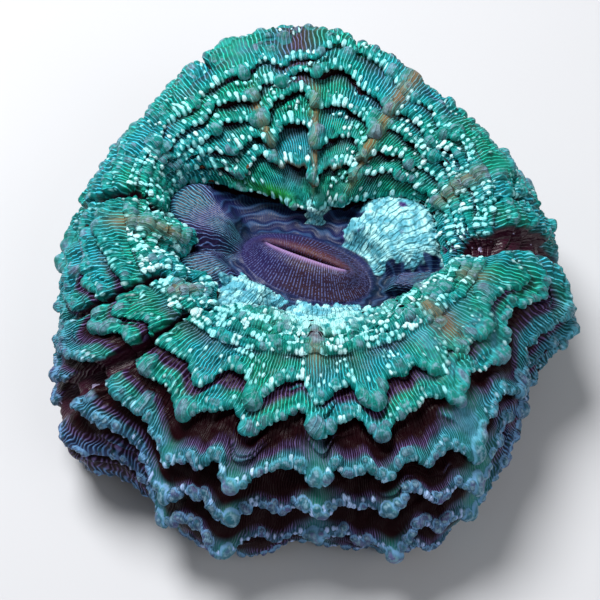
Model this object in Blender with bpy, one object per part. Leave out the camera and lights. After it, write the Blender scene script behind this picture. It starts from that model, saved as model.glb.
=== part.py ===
"""Doughnut coral: one large fleshy polyp, cut off flat where it grew.

The animal is a single body, so it is a single closed solid. From the middle outwards its skin is a slit
mouth on a mauve mound, the dark oral disc with its smooth lobes, and the green mantle that swells round
them like a doughnut. The mantle lies in folds: small ones that droop inwards over the disc, and tiers
of ledges that droop outwards down the flank. Radial ribs make noses on the ledges, and narrow clefts
part the lobes.

Lengths are in millimetres until the last step, which makes them metres. +Z is up, the front faces -Y,
and the origin is the middle of the flat base. Angles are degrees round +Z from +X.
"""

import math

import bmesh
import bpy
import numpy as np

# Size of the skin's mean form, round the coral. Each is a list of (angle, value) stops.
REACH = [(0, 78), (20, 75), (40, 70), (65, 67), (90, 80), (112, 81), (130, 75), (155, 76), (178, 77),
         (195, 78.5), (214, 88), (230, 79), (245, 83), (270, 76), (298, 84), (312, 78), (333, 72), (348, 78)]
REACH_HEIGHT = [(0, 22), (90, 30), (180, 22), (270, 15)]
CREST_RADIUS = [(0, 50), (45, 56), (90, 67), (135, 58), (180, 51), (225, 42), (270, 37), (315, 41)]
CREST_HEIGHT = [(0, 53), (90, 58), (180, 53), (270, 51)]
DISC_RADIUS = [(0, 37), (12, 37.5), (28, 37), (45, 28), (60, 21), (75, 18), (90, 17.5), (105, 18),
               (120, 24), (133, 32), (148, 45), (161, 45), (173, 35), (184, 39), (196, 33), (206, 30),
               (214, 33), (225, 27.5), (240, 23.5), (255, 23.5), (270, 24.5), (283, 24), (300, 25),
               (312, 27), (336, 32.5), (350, 38)]
DISC_HEIGHT = [(0, 44), (90, 43), (180, 43), (270, 44)]
DISC_WALL = 4.5
FOOT_SHARE = 0.78
# How far the radial lines turn, in degrees, from the crest out to the foot. Inwards they turn half as far.
TURNING = [(0, 12), (22, 5), (60, 0), (90, 0), (116, -7), (166, -2), (198, -6), (216, -9), (234, 8),
           (253, 0), (271, 0), (290, -6), (314, -15), (335, -3)]
REACH_SLOPE = 0.65

# The mouth: a slit on a mound, turned from +X. Each ring is (half length, half width, height).
MOUTH_CENTRE = (-2.0, -1.0)
MOUTH_TURN = -22.5
MOUTH_RINGS = [(10.6, 0.3, 38.0), (11.4, 0.6, 41.8), (12.4, 1.3, 43.2), (14.2, 3.8, 43.1),
               (16.4, 6.5, 41.0), (18.8, 9.0, 38.7)]
# How far each ring's middle lies in front of the mouth's, as a share of its half width.
MOUTH_LEAN = 0.2

# Folds of the inner slope and ledges of the flank: (share of the slope where it ends, height).
FOLDS = [(0.19, 4.6), (0.36, 4.4), (0.53, 4.2), (0.69, 3.8), (0.85, 3.4), (1.0, 2.0)]
LEDGES = [(0.12, 2.4), (0.225, 3.8), (0.38, 6.4), (0.505, 6.8), (0.64, 7.4), (0.78, 7.6), (0.92, 5.5)]
# One ledge in section, from its own recess to the next: (phase, share of its run, share of its height).
LEDGE_SECTION = [(0.0, 0.0, 0.0), (0.36, 0.36, 0.3), (0.62, 0.76, 0.86), (0.7, 0.92, 1.0),
                 (0.78, 0.98, 0.86), (0.86, 0.9, 0.34), (1.0, 1.0, 0.0)]
LEDGE_NOSE_REACH = 0.75
FOLD_NOSE_REACH = 0.65
FOLD_STEEPNESS = 0.42
FLAT_SIDE_SHARE = 0.6
LEDGE_STAND = 7.0

# Ribs that run down the whole mantle, and clefts between its lobes.
RIBS = [23, 40, 60, 89, 110, 128, 146, 176, 205, 234, 253, 271, 289, 313, 330, 346]
RIB_WIDTH = 4.2
STOUT_RIBS = {271: 0.8, 313: 1.0, 253: 0.5, 89: 0.5, 60: 0.6}
# Each cleft is (angle, start and end as slope shares from -1 inside to 1 at the foot, half width, depth).
CLEFTS = [(358, -0.95, 0.5, 2.2, 7.0), (11, -0.1, 0.35, 1.5, 4.5), (166, -0.95, 0.4, 1.4, 5.0),
          (198, -0.7, 0.4, 1.4, 5.0), (216, -0.95, 0.75, 2.2, 7.5), (118, 0.0, 0.7, 1.8, 5.0),
          (78, -0.05, 0.7, 1.8, 6.0)]

# Smooth lobes of the disc: (angle, half width in degrees, start and end of the way to the wall, height).
DISC_LOBES = [(153, 17, 0.0, 1.1, 7.0), (27, 24, 0.1, 1.1, 6.0), (-13, 11, 0.2, 1.1, 5.0),
              (187, 11, 0.2, 1.1, 5.0), (219, 17, 0.1, 1.1, 5.0), (276, 30, 0.2, 1.1, 3.5)]

COLUMNS = 88
FOLD_PHASES = (0.0, 0.16, 0.36)
LEDGE_PHASES = (0.0, 0.36, 0.70, 0.86)
DISC_STEPS = (0.34, 0.68, 0.94)
FINE_STEPS = 48
MM_TO_M = 0.001


def around(angle, stops):
    """A smooth closed curve of values through (degrees, value) stops, read at angle in radians."""
    degrees, values = np.array(stops, float).T
    degrees = np.concatenate([degrees[-2:] - 360, degrees, degrees[:2] + 360])
    values = np.concatenate([values[-2:], values, values[:2]])
    slopes = np.gradient(values, degrees)
    at = np.degrees(angle) % 360
    k = np.clip(np.searchsorted(degrees, at, side="right") - 1, 0, len(degrees) - 2)
    run = degrees[k + 1] - degrees[k]
    t = (at - degrees[k]) / run
    return (
        (2 * t**3 - 3 * t**2 + 1) * values[k]
        + (t**3 - 2 * t**2 + t) * run * slopes[k]
        + (3 * t**2 - 2 * t**3) * values[k + 1]
        + (t**3 - t**2) * run * slopes[k + 1]
    )


def turn_between(angle, degrees):
    """Degrees from the given direction, from -180 to 180."""
    return (np.degrees(angle) - degrees + 180) % 360 - 180


def hump(x):
    return np.exp(-x * x)


def smooth_step(low, high, x):
    t = np.clip((x - low) / (high - low), 0, 1)
    return t * t * (3 - 2 * t)


def wobble(angle, seed, waves=(3, 5, 8, 13)):
    """A smooth closed random curve between about -1 and 1."""
    rng = np.random.default_rng(seed)
    total = np.zeros_like(angle)
    for wave in waves:
        total = total + rng.uniform(0.4, 1.0) * np.cos(wave * angle + rng.uniform(0, 2 * math.pi))
    return total / len(waves) * 1.4


def bezier(a, b, c, d, t):
    return a * (1 - t) ** 3 + 3 * b * t * (1 - t) ** 2 + 3 * c * t**2 * (1 - t) + d * t**3


def turned(angle, slope):
    """Where a radial line that crosses the crest at angle has turned to at a slope share."""
    turn = np.radians(around(angle, TURNING))
    return angle + turn * np.where(slope > 0, slope, 0.5 * slope)


def mean_profile(angle):
    """The mean form's inner and outer slopes, each as points (step, column, (radius, height))."""
    wall_angle = turned(angle, -1)
    reach_angle = turned(angle, REACH_SLOPE)
    disc = np.stack([around(wall_angle, DISC_RADIUS), around(wall_angle, DISC_HEIGHT)], -1)
    crest = np.stack([around(angle, CREST_RADIUS), around(angle, CREST_HEIGHT)], -1)
    reach = np.stack(
        [around(reach_angle, REACH) - LEDGE_STAND, around(reach_angle, REACH_HEIGHT)], -1
    )
    foot = np.stack([reach[:, 0] * FOOT_SHARE, np.zeros(len(angle))], -1)
    rise = crest - disc
    over = reach - crest
    under = foot - reach
    t = np.linspace(0, 1, FINE_STEPS)[:, None, None]
    inner = bezier(disc, disc + rise * (0.05, 0.55), crest - rise * (0.5, 0.02), crest, t)
    outer = bezier(crest, crest + over * (0.55, 0), reach - over * (0, 0.5), reach, t)
    lower = bezier(reach, reach + under * (0, 0.5), foot - under * (0.35, 0.3), foot, t)
    return inner, np.concatenate([outer, lower[1:]])


def walk(points, share):
    """Position, direction and length of each column's profile at the given shares of its length."""
    steps = np.linalg.norm(np.diff(points, axis=0), axis=2)
    length = np.concatenate([np.zeros((1, steps.shape[1])), np.cumsum(steps, axis=0)])
    direction = np.gradient(points, axis=0)
    direction /= np.linalg.norm(direction, axis=2, keepdims=True)
    place = np.empty((*share.shape, 2))
    heading = np.empty((*share.shape, 2))
    for column in range(share.shape[1]):
        at = share[:, column] * length[-1, column]
        for axis in range(2):
            place[:, column, axis] = np.interp(at, length[:, column], points[:, column, axis])
            heading[:, column, axis] = np.interp(at, length[:, column], direction[:, column, axis])
    heading /= np.linalg.norm(heading, axis=2, keepdims=True)
    return place, heading, length[-1]


def noses(angle, tier):
    """How far the ribs push a tier's lip out at each angle, from 0 to about 1."""
    rng = np.random.default_rng(40 + tier)
    total = np.zeros_like(angle)
    gaps = np.roll(RIBS, -1) - np.array(RIBS)
    for rib, gap in zip(RIBS, gaps % 360):
        total += rng.uniform(0.6, 1.1) * hump(turn_between(angle, rib + rng.uniform(-1.5, 1.5)) / RIB_WIDTH)
        between = rib + gap * rng.uniform(0.4, 0.6)
        total += rng.uniform(0.0, 0.6) * hump(turn_between(angle, between) / (0.7 * RIB_WIDTH))
    return total


def ribs(angle):
    """How much of a recess each rib fills, from 0 to 1."""
    total = np.zeros_like(angle)
    for rib in RIBS:
        total += STOUT_RIBS.get(rib, 0.3) * hump(turn_between(angle, rib) / RIB_WIDTH)
    return np.minimum(total, 1)


def tier_height(angle, tier, height):
    """A ledge's height round the coral: full in front, less at the sides, and uneven throughout."""
    side = 1 - (1 - FLAT_SIDE_SHARE) * np.abs(np.cos(angle)) ** 1.5
    return height * side * (0.92 + 0.2 * wobble(angle, 70 + tier)) * (0.72 + 0.5 * noses(angle, tier))


def clefts(angle, slope, radius):
    """Depth of the clefts at each point, where slope runs from -1 at the disc to 1 at the foot."""
    depth = np.zeros(slope.shape)
    for degrees, start, end, width, deepest in CLEFTS:
        across = np.radians(turn_between(angle, degrees + 1.5 * np.sin(9 * slope))) * radius
        along = smooth_step(start - 0.08, start + 0.15, slope) * smooth_step(end + 0.15, end - 0.1, slope)
        widening = width * (0.7 + 0.5 * smooth_step(-1, 0.5, slope))
        depth = np.maximum(depth, deepest * along * hump(across / widening))
    return depth


def section(phase):
    phases, runs, heights = np.array(LEDGE_SECTION).T
    return np.interp(phase, phases, runs), np.interp(phase, phases, heights)


def mantle(angle, tiers, phases, inward):
    """Rings of points over one slope: the folds if inward, or else the ledges."""
    inner, outer = mean_profile(angle)
    profile = inner if inward else outer
    bounds = [0.0] + [end for end, height in tiers]
    shares, lifts = [], []
    for tier, (end, height) in enumerate(tiers):
        start = bounds[tier]
        seed = tier + (20 if inward else 0)
        tall = tier_height(angle, seed, height)
        next_seed = seed + 1 if tier + 1 < len(tiers) else seed
        for phase in phases:
            run, lift = section(1 - phase if inward else phase)
            run = 1 - run if inward else run
            share = start + (end - start) * run
            push = noses(angle, seed) * (1 - phase) + noses(angle, next_seed) * phase
            push = (push - 0.35) * (FOLD_NOSE_REACH if inward else LEDGE_NOSE_REACH) * (end - start)
            ends = smooth_step(-0.02, 0.1, share) * smooth_step(1.0, 0.9, share)
            shares.append(share + push * ends * (-1 if inward else 1))
            lifts.append(tall * (lift + 0.6 * ribs(angle) * (1 - lift)))
    share = np.array(shares)
    place, heading, length = walk(profile, np.clip(share, 0, 1))
    lift = np.array(lifts)
    if inward:
        lift = np.minimum(lift, FOLD_STEEPNESS * length * tiers[0][0])
    slope = share - 1 if inward else share
    lift = lift - clefts(angle[None, :], slope, place[..., 0])
    normal = np.stack([-heading[..., 1], heading[..., 0]], -1)
    spot = place + lift[..., None] * normal
    if not inward:
        spot[..., 1] = np.maximum(spot[..., 1], 1.5)
    heading_to = turned(angle, slope)
    return np.stack([spot[..., 0] * np.cos(heading_to), spot[..., 0] * np.sin(heading_to), spot[..., 1]], -1)


def mouth_ring(angle, ring):
    half_length, half_width, height = ring
    turn = math.radians(MOUTH_TURN)
    x, y = half_length * np.cos(angle - turn), half_width * np.sin(angle - turn)
    return np.stack(
        [
            MOUTH_CENTRE[0] + x * math.cos(turn) - y * math.sin(turn),
            MOUTH_CENTRE[1] - MOUTH_LEAN * half_width + x * math.sin(turn) + y * math.cos(turn),
            np.full_like(angle, height),
        ],
        -1,
    )


def disc(angle):
    """Rings of the oral disc, from the mouth mound's foot out to the wall under the first fold."""
    mound = mouth_ring(angle, MOUTH_RINGS[-1])
    toward = turned(angle, -1)
    radius = around(toward, DISC_RADIUS) + 0.4
    wall = np.stack(
        [radius * np.cos(toward), radius * np.sin(toward), around(toward, DISC_HEIGHT) - DISC_WALL], -1
    )
    rings = []
    for step in DISC_STEPS:
        ring = mound + (wall - mound) * step
        for degrees, width, start, end, height in DISC_LOBES:
            along = smooth_step(start, start + 0.25, step) * smooth_step(end, end - 0.25, step)
            rise = height * along * np.exp(-np.abs(turn_between(angle, degrees) / width) ** 4)
            ring[:, 2] += rise * (1 - 0.5 * smooth_step(0.8, 1.0, step))
        rings.append(ring)
    return rings


def column_angles():
    """The angles of the mesh's columns, which crowd together at the ribs and clefts."""
    fine = np.linspace(0, 2 * math.pi, 3601)
    crowd = np.full_like(fine, 0.55)
    for degrees in RIBS:
        crowd += 0.9 * hump(turn_between(fine, degrees) / 4.0)
    for degrees, *_ in CLEFTS:
        crowd += 1.6 * hump(turn_between(fine, degrees) / 3.0)
    total = np.concatenate([[0], np.cumsum((crowd[1:] + crowd[:-1]) / 2)])
    return np.interp(np.arange(COLUMNS) / COLUMNS * total[-1], total, fine)


def rings_of_coral(angle):
    """Every ring of the skin, from the slit's floor out over the mantle to the foot."""
    rings = [mouth_ring(angle, ring) for ring in MOUTH_RINGS] + disc(angle)
    rings += list(mantle(angle, FOLDS, FOLD_PHASES, True))
    rings += list(mantle(angle, LEDGES, LEDGE_PHASES, False))
    foot = mean_profile(angle)[1][-1][:, 0]
    toward = turned(angle, 1)
    rings.append(np.stack([foot * np.cos(toward), foot * np.sin(toward), np.zeros_like(angle)], -1))
    return rings


def loft(name, rings):
    """A closed solid through the rings. The first closes as a slit, and the last is the flat base."""
    bm = bmesh.new()
    loops = [[bm.verts.new(point * MM_TO_M) for point in ring] for ring in rings]
    count = len(loops[0])
    for inner, outer in zip(loops, loops[1:]):
        for i in range(count):
            j = (i + 1) % count
            bm.faces.new((inner[i], outer[i], outer[j], inner[j]))
    bm.faces.new(list(reversed(loops[-1])))
    bmesh.ops.triangulate(bm, faces=[bm.faces.new(loops[0])])
    bmesh.ops.recalc_face_normals(bm, faces=bm.faces)
    mesh = bpy.data.meshes.new(name)
    bm.to_mesh(mesh)
    bm.free()
    made = bpy.data.objects.new(name, mesh)
    bpy.context.scene.collection.objects.link(made)
    return made


def flesh_material():
    material = bpy.data.materials.new("green_flesh")
    material.use_nodes = True
    shader = material.node_tree.nodes["Principled BSDF"]
    shader.inputs["Base Color"].default_value = (0.03, 0.42, 0.30, 1)
    shader.inputs["Roughness"].default_value = 0.42
    shader.inputs["Metallic"].default_value = 0.0
    return material


def main():
    for old in list(bpy.data.objects):
        bpy.data.objects.remove(old)
    coral = loft("doughnut_coral", rings_of_coral(column_angles()))
    coral.data.materials.append(flesh_material())
    coral.data.shade_smooth()


main()
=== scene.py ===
import math

import bpy
import numpy as np
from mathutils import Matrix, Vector


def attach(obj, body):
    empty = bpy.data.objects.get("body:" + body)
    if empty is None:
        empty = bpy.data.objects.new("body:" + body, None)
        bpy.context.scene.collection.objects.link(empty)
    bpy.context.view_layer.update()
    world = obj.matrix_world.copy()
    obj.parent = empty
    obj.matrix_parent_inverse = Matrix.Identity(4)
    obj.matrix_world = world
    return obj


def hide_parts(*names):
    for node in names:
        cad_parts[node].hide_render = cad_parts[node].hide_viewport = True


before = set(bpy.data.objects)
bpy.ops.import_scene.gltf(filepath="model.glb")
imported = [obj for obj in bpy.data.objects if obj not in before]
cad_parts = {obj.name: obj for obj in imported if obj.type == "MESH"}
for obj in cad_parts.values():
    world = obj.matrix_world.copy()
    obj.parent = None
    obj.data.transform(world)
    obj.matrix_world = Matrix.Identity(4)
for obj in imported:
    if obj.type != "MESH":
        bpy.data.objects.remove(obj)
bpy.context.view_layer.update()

NODE = "doughnut_coral"

# The mean form, the folds and the ledges, in millimetres and degrees, are the part's own values.
REACH = [(0, 78), (20, 75), (40, 70), (65, 67), (90, 80), (112, 81), (130, 75), (155, 76), (178, 77),
         (195, 78.5), (214, 88), (230, 79), (245, 83), (270, 76), (298, 84), (312, 78), (333, 72), (348, 78)]
REACH_HEIGHT = [(0, 22), (90, 30), (180, 22), (270, 15)]
CREST_RADIUS = [(0, 50), (45, 56), (90, 67), (135, 58), (180, 51), (225, 42), (270, 37), (315, 41)]
CREST_HEIGHT = [(0, 53), (90, 58), (180, 53), (270, 51)]
DISC_RADIUS = [(0, 37), (12, 37.5), (28, 37), (45, 28), (60, 21), (75, 18), (90, 17.5), (105, 18),
               (120, 24), (133, 32), (148, 45), (161, 45), (173, 35), (184, 39), (196, 33), (206, 30),
               (214, 33), (225, 27.5), (240, 23.5), (255, 23.5), (270, 24.5), (283, 24), (300, 25),
               (312, 27), (336, 32.5), (350, 38)]
DISC_HEIGHT = [(0, 44), (90, 43), (180, 43), (270, 44)]
DISC_WALL = 4.5
FOOT_SHARE = 0.78
# How far each slope's curve is pulled along its way, in radius and height, at its start and its end.
INNER_PULLS = ((0.05, 0.55), (0.5, 0.02))
OUTER_PULLS = ((0.55, 0), (0, 0.5))
UNDER_PULLS = ((0, 0.5), (0.35, 0.3))
TURNING = [(0, 12), (22, 5), (60, 0), (90, 0), (116, -7), (166, -2), (198, -6), (216, -9), (234, 8),
           (253, 0), (271, 0), (290, -6), (314, -15), (335, -3)]
REACH_SLOPE = 0.65
MOUTH_CENTRE = (-2.0, -1.0)
MOUTH_LEAN = 0.2
MOUTH_TURN = -22.5
MOUTH_RINGS = [(10.6, 0.3, 38.0), (11.4, 0.6, 41.8), (12.4, 1.3, 43.2), (14.2, 3.8, 43.1),
               (16.4, 6.5, 41.0), (18.8, 9.0, 38.7)]
FOLDS = [(0.19, 4.6), (0.36, 4.4), (0.53, 4.2), (0.69, 3.8), (0.85, 3.4), (1.0, 2.0)]
LEDGES = [(0.12, 2.4), (0.225, 3.8), (0.38, 6.4), (0.505, 6.8), (0.64, 7.4), (0.78, 7.6), (0.92, 5.5)]
TIERS = len(FOLDS) + len(LEDGES)
LEDGE_NOSE_REACH = 0.75
FOLD_NOSE_REACH = 0.65
FOLD_STEEPNESS = 0.42
FLAT_SIDE_SHARE = 0.6
LEDGE_STAND = 7.0
LOWEST_LIP = 1.5
RIBS = [23, 40, 60, 89, 110, 128, 146, 176, 205, 234, 253, 271, 289, 313, 330, 346]
RIB_WIDTH = 4.2
PLAIN_RIB = 0.3
STOUT_RIBS = {271: 0.8, 313: 1.0, 253: 0.5, 89: 0.5, 60: 0.6}
RIB_FILL = 0.6
# A lip's noses: the reach of those at the ribs and how far they stray from them, in degrees, then the
# reach, the place in the gap and the share of the width of those between the ribs.
RIB_NOSE = (0.6, 1.1)
RIB_STRAY = 1.5
MID_NOSE = (0.0, 0.6)
MID_PLACE = (0.4, 0.6)
MID_WIDTH = 0.7
MEAN_NOSE = 0.35
# Each cleft is (angle, start and end along the slope, where it starts to widen, inner and outer half
# width, depth).
CLEFTS = [(358, -0.95, 0.42, -0.75, 0.7, 3.4, 5.5), (11, -0.1, 0.3, 0.0, 0.6, 1.6, 4.0),
          (166, -0.95, 0.4, 0.0, 1.0, 1.4, 4.5), (198, -0.7, 0.4, 0.0, 1.0, 1.4, 4.5),
          (216, -0.95, 0.6, 0.0, 0.8, 3.0, 6.0), (118, 0.0, 0.7, 0.0, 0.8, 1.8, 5.0),
          (78, -0.05, 0.7, 0.0, 0.8, 1.8, 6.0)]
CLEFT_SWAY = 1.5
CLEFT_BENDS = 9
# Bladders that stand alone: (angle, radius, size, stretch along the radius).
LONE_KNOBS = [(334, 40, 2.7, 1.0), (339, 50, 2.6, 1.2), (321, 43, 1.9, 1.0), (330, 32, 1.7, 1.0),
              (356, 53, 2.2, 1.2), (112, 39, 2.4, 1.0), (87, 33, 2.2, 1.1), (100, 50, 2.4, 1.0),
              (80, 60, 2.6, 1.0), (97, 66, 2.4, 1.0), (66, 57, 1.9, 2.2), (65, 42, 1.6, 2.4),
              (140, 61, 1.8, 2.2), (123, 66, 1.8, 2.2), (208, 62, 1.9, 2.4), (222, 60, 1.9, 2.6),
              (226, 66, 1.8, 2.6), (219, 72, 1.9, 2.6), (196, 72, 2.2, 2.0), (186, 66, 1.8, 2.2),
              (200, 50, 1.9, 1.0), (190, 44, 1.7, 1.0), (271, 31, 2.0, 1.5), (300, 45, 2.2, 1.0),
              (20, 56, 2.0, 1.6)]
# Bladders that scallop the rim of the back: the arc in degrees, how many, and their least and most size.
RIM_KNOBS = (22, 160, 34, 1.2, 2.3)
RIM_TIERS = (0, 1)
# Bladders strewn over the crest at the back: how many to a tier, the arc, and how far behind the lip.
CREST_KNOBS = 26
CREST_TIERS = (-1, 0, 1)
CREST_ARC = (20, 160)
CREST_OFF = (-9.0, -1.0)
# Crumbs of the pale crust: on the disc, and over the inner rim in front, round an angle and its spread.
DISC_CRUMBS = 420
RIM_CRUMBS = 90
CRUMB_ARC = (276, 13)
DISC_LOBES = [(153, 17, 0.0, 1.1, 7.0), (27, 24, 0.1, 1.1, 6.0), (-13, 11, 0.2, 1.1, 5.0),
              (187, 11, 0.2, 1.1, 5.0), (219, 17, 0.1, 1.1, 5.0), (276, 30, 0.2, 1.1, 3.5)]
# Streaks along the radial lines: (angle, start and end along the slope, half width in degrees).
OCHRE_STREAKS = [(176, -0.8, 0.05, 2.4), (205, -0.6, -0.15, 2.2), (22, -0.85, -0.05, 2.6),
                 (60, -0.9, 0.3, 2.4), (89, -0.9, -0.4, 1.6), (110, -0.75, -0.35, 1.6),
                 (271, -0.6, 0.02, 3.2), (322, -0.4, 0.1, 3.4), (343, -0.3, 0.0, 3.0)]
SMOOTH_STREAKS = [(313, 0.0, 0.85, 5.5), (271, 0.3, 0.85, 3.4), (253, 0.35, 0.85, 3.0),
                  (234, 0.3, 0.85, 2.6), (289, 0.4, 0.85, 2.4), (330, 0.02, 0.3, 5.0), (60, 0.0, 0.7, 3.4),
                  (110, -0.1, 0.6, 3.4), (23, 0.05, 0.6, 3.4), (146, 0.1, 0.7, 3.0), (176, 0.1, 0.8, 2.8)]
# Each tongue is (angle, half width in degrees, degrees that it has turned by the mound, where it starts).
TONGUES = [(153, 17, 14, -0.2), (187, 11, 0, 0.15), (-13, 11, 0, 0.15)]
# Each pale patch of the disc is (angle, start, end, half width in degrees).
PALE_PATCHES = [(27, 0.05, 1.2, 23), (221, 0.12, 1.2, 25), (278, 0.1, 1.6, 27), (82, 0.42, 1.1, 8)]

# The same section of a ledge as the part's, with the roundness and the undercut that a fine mesh can hold.
LEDGE_SECTION = [(0.0, 0.0, -0.22), (0.14, 0.1, -0.12), (0.36, 0.38, 0.22), (0.55, 0.7, 0.68),
                 (0.66, 0.93, 0.98), (0.72, 1.02, 1.0), (0.79, 1.03, 0.8), (0.87, 0.92, 0.28),
                 (0.94, 0.9, -0.1), (1.0, 1.0, -0.22)]
LIP_PHASE = 0.69
# The short secondary lips: phase of the edge, half width in degrees, share of the tier's height, and the
# phases over which they rise and drop.
FLAPS_PER_TIER = 16
FLAP_EDGE = (0.26, 0.5)
FLAP_WIDTH = (3, 8)
FLAP_STAND = (0.3, 0.55)
FLAP_RISE = 0.22
FLAP_DROP = 0.05
LEDGE_WANDER = 0.028
FOLD_WANDER = 0.042
WANDER_WAVES = (4, 7, 11, 15, 20)
WANDER_TILT = (3, 9)
UNEVEN_WAVES = (9, 14, 19, 26)
RUFFLE_WAVES = (29, 41, 53, 67, 83)
RUFFLE_REACH = 0.09
UPPER_FLATNESS = 0.75
LEAST_HEIGHT = 0.35
# Rough lengths of the two slopes, in millimetres, for spacing the rows.
FOLD_SLOPE = 36
LEDGE_SLOPE = 76

# Seeds of the random draws. A fold draws as a tier that stands FOLD_SEED higher in the count.
SEEDS = {"noses": 40, "wander": 60, "height": 70, "uneven": 170, "ruffle": 90, "flaps": 300,
         "patches": 400, "domes": 5, "wrinkle": 7, "floor": 12, "crumbs": 21}
FOLD_SEED = 20

# Shares of the direction to the front or the back from which each region begins and is full.
FRONT_SPAN = (-0.15, 0.6)
MIDDLE_SPAN = (0.66, 0.95)
BACK_SPAN = (0.5, 0.8)
DEEPER_FRONT = 0.28
# Heights of the fine relief, in millimetres.
WRINKLE_HEIGHT = 0.4
LUMP_HEIGHT = 0.35
PAD_HEIGHT = 0.8
OCHRE_HEIGHT = 1.1
TONGUE_LINE_HEIGHT = 0.24
WAVE_HEIGHT = 0.2
FILLET_HEIGHT = 0.8
TOOTH_HEIGHT = 0.25
MOUND_LINE_HEIGHT = 0.09
LIP_SWELL = 0.5

# Counts round the coral, and rows of the mesh from the slit outwards.
LINES = 336
COLUMNS = 3 * LINES
MOUTH_ROWS = 30
DISC_ROWS = 52
FOLD_ROWS = [27, 27, 27, 27, 25, 14]
LEDGE_ROWS = [18, 24, 46, 38, 42, 42, 28]
FOOT_ROWS = 8
ROW_PITCH = 0.45
FINE_STEPS = 64
SECTION_STEPS = 400

# Beads, in millimetres: each row on a lip is (distance out from the lip, share of places with a bead),
# then sizes and stretches on the lip and on the tread.
BEAD_PITCH = 1.6
SUB_ROW_PITCH = 2.5
LIP_ROWS = [(0.1, 0.97), (-1.7, 0.75)]
LIP_BEAD, LIP_STRETCH = (0.68, 0.95), (1.2, 1.9)
TREAD_BEAD, TREAD_STRETCH = (0.45, 0.65), (1.4, 2.2)
LIP_KNOB = (0.9, 1.45)
FLAP_BEAD = (0.5, 0.8)
BEAD_STRAY = 0.3
BEAD_WEIGHTS = [0.12, 0.6, 0.8, 1.0]
BESIDE_DIMMING = 0.45
DOME_HEIGHT = 0.9
# Bladders: chances at a rib and on either side of it, sizes, places from the lip, and spare ones anywhere.
RIB_CHANCES = {-1: 0.4, 0: 0.85, 1: 0.4}
FOLD_KNOB, LEDGE_KNOB = (1.0, 2.0), (1.2, 2.7)
FOLD_SPARE, LEDGE_SPARE = 14, 30
KNOB_OFF, SPARE_OFF = (-2.2, 0.2), (-2.4, 0.5)
ROUND, LONG, CLUB = (1.0, 1.6), (1.0, 1.8), (2.0, 2.8)
# Degrees in an arc as long as its radius.
ARC_DEGREES = 57.3

# The layout for baking: strips to a piece, and the shares of the square that they and their edges take.
BAKE_STRIPS = 4
BAKE_WIDTH = 0.92
BAKE_MARGIN = 0.006
# How far in the hidden rings lie, as shares of the rows that they start from.
HIDDEN_INNER = 0.88
HIDDEN_OUTER = 0.8
MM = 0.001

# What the colours of the mantle and of the disc read from the mesh.
MANTLE_MASKS = ("bead", "knob", "crumb", "deep", "lip", "rust", "cleft", "pale", "ochre", "smooth", "lime",
                "low", "brown")
DISC_MASKS = ("pale", "crumb", "lobe", "wave", "cross", "cool", "mound", "slit", "far", "inside")


def around(angle, stops):
    """A smooth closed curve of values through (degrees, value) stops, read at angle in radians."""
    degrees, values = np.array(stops, float).T
    degrees = np.concatenate([degrees[-2:] - 360, degrees, degrees[:2] + 360])
    values = np.concatenate([values[-2:], values, values[:2]])
    return through(np.degrees(angle) % 360, degrees, values)


def through(at, places, values):
    """A smooth curve through values at places, read at each of at."""
    slopes = np.gradient(values, places)
    k = np.clip(np.searchsorted(places, at, side="right") - 1, 0, len(places) - 2)
    run = places[k + 1] - places[k]
    t = (at - places[k]) / run
    return (
        (2 * t**3 - 3 * t**2 + 1) * values[k]
        + (t**3 - 2 * t**2 + t) * run * slopes[k]
        + (3 * t**2 - 2 * t**3) * values[k + 1]
        + (t**3 - t**2) * run * slopes[k + 1]
    )


def apart(angle, degrees):
    """Degrees from a direction round to angle in radians, from -180 to 180."""
    return (np.degrees(angle) - degrees + 180) % 360 - 180


def hump(x):
    """A rounded hump, 1 at 0 and almost 0 beyond 2."""
    return np.exp(-x * x)


def ease(low, high, x):
    """A smooth step from 0 at low to 1 at high."""
    t = np.clip((x - low) / (high - low), 0, 1)
    return t * t * (3 - 2 * t)


def window(x, start, end, outside, inside):
    """1 between start and end, with soft ends from that far outside to that far inside of them."""
    return ease(start - outside, start + inside, x) * ease(end + outside, end - inside, x)


def bent_wave(along, rate, aside, bend, bend_rate, shift=0):
    """A wave over one direction in millimetres, bent by another wave over a second direction."""
    return np.sin(rate * along + bend * np.sin(bend_rate * aside + shift))


def wobble(angle, seed, waves=(3, 5, 8, 13)):
    """A smooth closed random curve between about -1 and 1."""
    rng = np.random.default_rng(seed)
    total = np.zeros_like(angle)
    for wave in waves:
        total = total + rng.uniform(0.4, 1.0) * np.cos(wave * angle + rng.uniform(0, 2 * math.pi))
    return total / len(waves) * 1.4


def slope_curve(start, end, pulls, t):
    """A smooth curve from start to end, pulled along its way at both ends."""
    leaving = start + (end - start) * pulls[0]
    coming = end - (end - start) * pulls[1]
    return start * (1 - t) ** 3 + 3 * leaving * t * (1 - t) ** 2 + 3 * coming * t**2 * (1 - t) + end * t**3


def polar(angle, radius, height):
    return np.stack([radius * np.cos(angle), radius * np.sin(angle), height], -1)


def turned(angle, slope):
    """Where a radial line that crosses the crest at angle has turned to at a slope share."""
    turn = np.radians(around(angle, TURNING))
    return angle + turn * np.where(slope > 0, slope, 0.5 * slope)


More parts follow.
